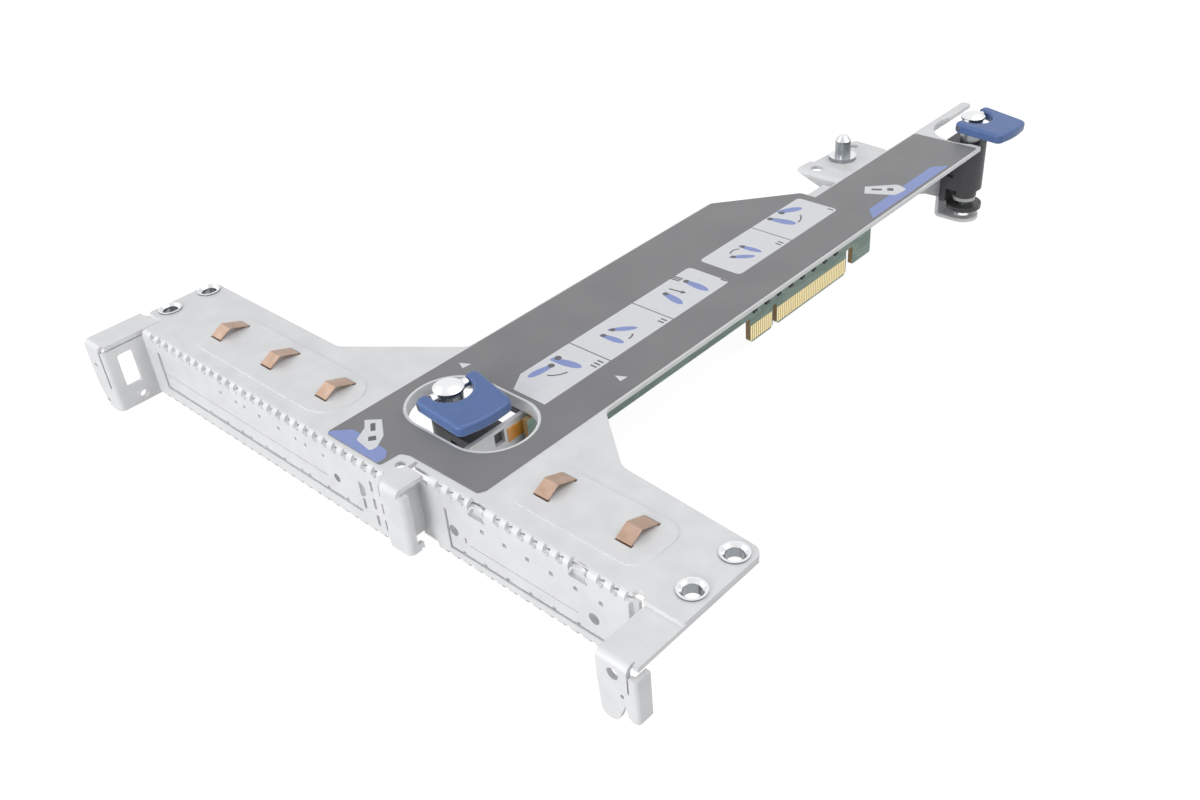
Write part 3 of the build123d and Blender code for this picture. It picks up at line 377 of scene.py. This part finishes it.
def paddle(start, end, width):
    """Handle seen from above: narrow root, widest past its middle, round tip."""
    half = []
    for k in range(PADDLE_STEPS + 1):
        t = k / PADDLE_STEPS
        swell = PADDLE_ROOT + PADDLE_SWELL * math.sin(math.pi * min(1, t / PADDLE_REACH))
        half.append(Vector((t, width / 2 * swell * math.sqrt(1 - t**5))))
    mirrored = [Vector((p.x, -p.y)) for p in half[-2::-1]]
    return along(half + mirrored, start, end)


def stroke(start, end, width):
    """Straight line between two points."""
    half = width / 2
    return along([Vector((0, -half)), Vector((1, -half)), Vector((1, half)), Vector((0, half))], start, end)


def peg(x, y, angle, length, width):
    """Bar that starts at a place and runs at an angle."""
    half = width / 2
    return turned([(0, -half), (length, -half), (length, half), (0, half)], (x, y), angle)


def disc(x, y, radius, steps=14):
    ring = [math.tau * k / steps for k in range(steps)]
    return [Vector((x + radius * math.cos(a), y + radius * math.sin(a))) for a in ring]


def sweep(x, y, radius, start, end, width=0.45, steps=8):
    """Curved stroke about a centre."""
    angles = [math.radians(start + (end - start) * k / steps) for k in range(steps + 1)]
    outer = [Vector((x + radius * math.cos(a), y + radius * math.sin(a))) for a in angles]
    inner = [Vector((x + (radius - width) * math.cos(a), y + (radius - width) * math.sin(a))) for a in angles]
    return outer + inner[::-1]


def tally(y, count):
    """Short strokes beside a panel's far right corner."""
    strokes = []
    for i in range(count):
        near = y - TALLY_PITCH * i
        far = y + TALLY_WIDTH - TALLY_PITCH * i
        corners = [(TALLY_LEFT, near), (TALLY_RIGHT, near), (TALLY_RIGHT, far), (TALLY_LEFT, far)]
        strokes.append(rounded([(*corner, TALLY_ROUND) for corner in corners]))
    return strokes


def label_print():
    """Fields, bands and handle shapes on the label, each layer a little higher than the one under it."""
    top = LABEL_TOP
    sunk = LABEL_TOP - PRINT_SINK
    inside = LABEL_TOP + PRINT_SINK
    step = PRINT_STEP
    whites = [panel(*span) for span in REMOVAL_PANELS + FITTING_PANELS]
    whites.append(rounded([(81.7, 42.7), (84.3, 41.5), (84.7, 44.2)]))
    whites.append(rounded([(118.4, 62.3), (121.2, 61.2), (121.4, 63.8)]))
    sheet_mesh("label_panels", whites, sunk, top + step, PANEL_WHITE)
    bands = [
        rounded([(78.8, 2.4, 0.5), (98.0, 2.4, 0.8), (98.0, 4.8, 0.8), (96.0, 6.9, 0.8), (82.8, 7.3, 0.8),
                 (78.8, 3.8, 0.4)]),
        rounded([(120.7, 176.7, 0.6), (124.9, 172.0, 0.4), (124.9, 217.7, 0.4), (120.7, 213.8, 0.6)]),
    ]
    sheet_mesh("label_bands", bands, sunk, top + step, PRINT_BLUE)
    marks = [
        rounded([(81.8, 11.4, 0.3), (84.5, 9.3, 1.0), (86.7, 5.1, 1.2), (92.8, 4.3, 0.8), (93.1, 6.2, 1.0),
                 (90.7, 10.2, 2.0), (85.1, 14.2, 0.3)]),
        rounded([(111.2, 189.6, 0.3), (113.6, 185.3, 0.3), (122.2, 189.6, 2.0), (122.8, 195.0, 0.8),
                 (118.9, 196.6, 2.0)]),
    ]
    sheet_mesh("label_marks", marks, sunk, top + 2 * step, PANEL_WHITE)
    blues = [
        paddle((98.9, 159.4), (103.6, 166.2), 3.0),
        paddle((99.8, 154.6), (108.2, 156.2), 3.1),
        paddle((102.5, 135.2), (110.2, 135.9), 2.2),
        paddle((104.4, 128.0), (110.1, 132.9), 2.2),
        paddle((102.2, 109.8), (111.4, 109.3), 2.6),
        paddle((101.9, 101.2), (110.1, 99.4), 2.6),
        paddle((102.5, 77.4), (108.1, 83.0), 2.2),
        paddle((102.4, 74.5), (110.2, 75.1), 2.2),
        paddle((99.9, 58.2), (109.2, 60.1), 2.8),
        paddle((102.4, 56.5), (101.1, 48.5), 2.4),
    ]
    sheet_mesh("label_levers", blues, inside, top + 2 * step, PRINT_BLUE)
    darks = [
        disc(100.3, 159.8, 0.95),
        disc(99.8, 154.5, 0.95),
        sweep(102.2, 157.2, 6.0, 2, 52),
        disc(103.6, 135.4, 0.8),
        disc(105.2, 128.8, 0.8),
        sweep(105.4, 131.6, 2.9, 130, 220),
        peg(98.4, 108.5, 5, 3.0, 0.45),
        peg(98.4, 109.3, 5, 3.0, 0.45),
        peg(98.4, 110.1, 5, 3.0, 0.45),
        disc(103.0, 109.8, 0.85),
        disc(102.8, 101.0, 0.85),
        stroke((101.7, 103.8), (106.0, 104.4), 0.5),
        [Vector((105.8, 103.6)), Vector((107.2, 104.6)), Vector((105.6, 105.2))],
        disc(103.4, 78.2, 0.8),
        disc(103.3, 74.6, 0.8),
        sweep(106.4, 77.6, 3.7, -5, 40),
        disc(101.1, 59.6, 1.0),
        disc(102.2, 56.0, 0.95),
        sweep(101.6, 57.6, 6.4, -62, -12),
    ]
    for y, count in TALLIES:
        darks += tally(y, count)
    darks += [peg(84.6, 11.8, -38, 3.2, 1.2), peg(88.7, 8.3, -38, 1.8, 1.9)]
    darks += [peg(114.0, 188.9, 31, 3.2, 1.2), peg(118.0, 191.6, 31, 1.9, 1.9)]
    sheet_mesh("label_strokes", darks, inside, top + 3 * step, PRINT_DARK)


label_print()


# Camera at the photograph's place

def camera():
    data = bpy.data.cameras.new("camera")
    data.sensor_width = SENSOR
    data.lens = LENS
    data.clip_start, data.clip_end = CAMERA_CLIP
    axes = (Vector(CAMERA_RIGHT), Vector(CAMERA_UP), -Vector(CAMERA_FORWARD))
    turn = Matrix(axes).transposed().to_4x4()
    item = bpy.data.objects.new("camera", data)
    item.matrix_world = Matrix.Translation(CAMERA_PLACE) @ turn
    show(item)
    bpy.context.scene.camera = item


# Studio: white world and floor, soft lamps

def white_to_rays(tree, weight):
    """Factor of 1 for camera, glossy and transmission rays, scaled."""
    path = tree.nodes.new("ShaderNodeLightPath")
    first = tree.nodes.new("ShaderNodeMath")
    first.operation = "MAXIMUM"
    second = tree.nodes.new("ShaderNodeMath")
    second.operation = "MAXIMUM"
    scale = tree.nodes.new("ShaderNodeMath")
    scale.operation = "MULTIPLY"
    scale.inputs[1].default_value = weight
    tree.links.new(path.outputs["Is Camera Ray"], first.inputs[0])
    tree.links.new(path.outputs["Is Glossy Ray"], first.inputs[1])
    tree.links.new(first.outputs[0], second.inputs[0])
    tree.links.new(path.outputs["Is Transmission Ray"], second.inputs[1])
    tree.links.new(second.outputs[0], scale.inputs[0])
    return scale.outputs[0]


def world():
    item = bpy.data.worlds.new("studio")
    bpy.context.scene.world = item
    item.use_nodes = True
    tree = item.node_tree
    dim = tree.nodes["Background"]
    dim.inputs["Color"].default_value = (0.80, 0.81, 0.83, 1)
    dim.inputs["Strength"].default_value = ROOM_LIGHT
    white = tree.nodes.new("ShaderNodeBackground")
    white.inputs["Color"].default_value = (1, 1, 1, 1)
    white.inputs["Strength"].default_value = 1.0
    mix = tree.nodes.new("ShaderNodeMixShader")
    tree.links.new(white_to_rays(tree, 1.0), mix.inputs["Fac"])
    tree.links.new(dim.outputs[0], mix.inputs[1])
    tree.links.new(white.outputs[0], mix.inputs[2])
    tree.links.new(mix.outputs[0], tree.nodes["World Output"].inputs["Surface"])


def floor():
    data = bpy.data.meshes.new("floor")
    far = FLOOR_REACH
    corners = [(-far, -far, 0), (far, -far, 0), (far, far, 0), (-far, far, 0)]
    data.from_pydata(corners, [], [(0, 1, 2, 3)])
    material = bpy.data.materials.new("floor_white")
    material.use_nodes = True
    tree = material.node_tree
    tree.nodes.clear()
    soft = tree.nodes.new("ShaderNodeBsdfDiffuse")
    soft.inputs["Color"].default_value = (FLOOR_GREY, FLOOR_GREY, FLOOR_GREY, 1)
    glow = tree.nodes.new("ShaderNodeEmission")
    glow.inputs["Color"].default_value = (1, 1, 1, 1)
    both = tree.nodes.new("ShaderNodeAddShader")
    output = tree.nodes.new("ShaderNodeOutputMaterial")
    tree.links.new(white_to_rays(tree, FLOOR_GLOW), glow.inputs["Strength"])
    tree.links.new(soft.outputs[0], both.inputs[0])
    tree.links.new(glow.outputs[0], both.inputs[1])
    tree.links.new(both.outputs[0], output.inputs["Surface"])
    data.materials.append(material)
    item = bpy.data.objects.new("floor", data)
    item.location.z = cad_box[0].z - FLOOR_DROP
    show(item)


def lamp(name, place, power, size):
    """Soft round lamp that looks at the middle of the part."""
    data = bpy.data.lights.new(name, "AREA")
    data.shape = "DISK"
    data.size = size
    data.energy = power
    item = bpy.data.objects.new(name, data)
    item.location = place
    item.rotation_euler = (Vector(MIDDLE) - Vector(place)).to_track_quat("-Z", "Y").to_euler()
    show(item)


camera()
world()
floor()
for name, (place, power, size) in LAMPS.items():
    lamp(name, place, power, size)
bpy.context.scene.view_settings.view_transform = "Standard"
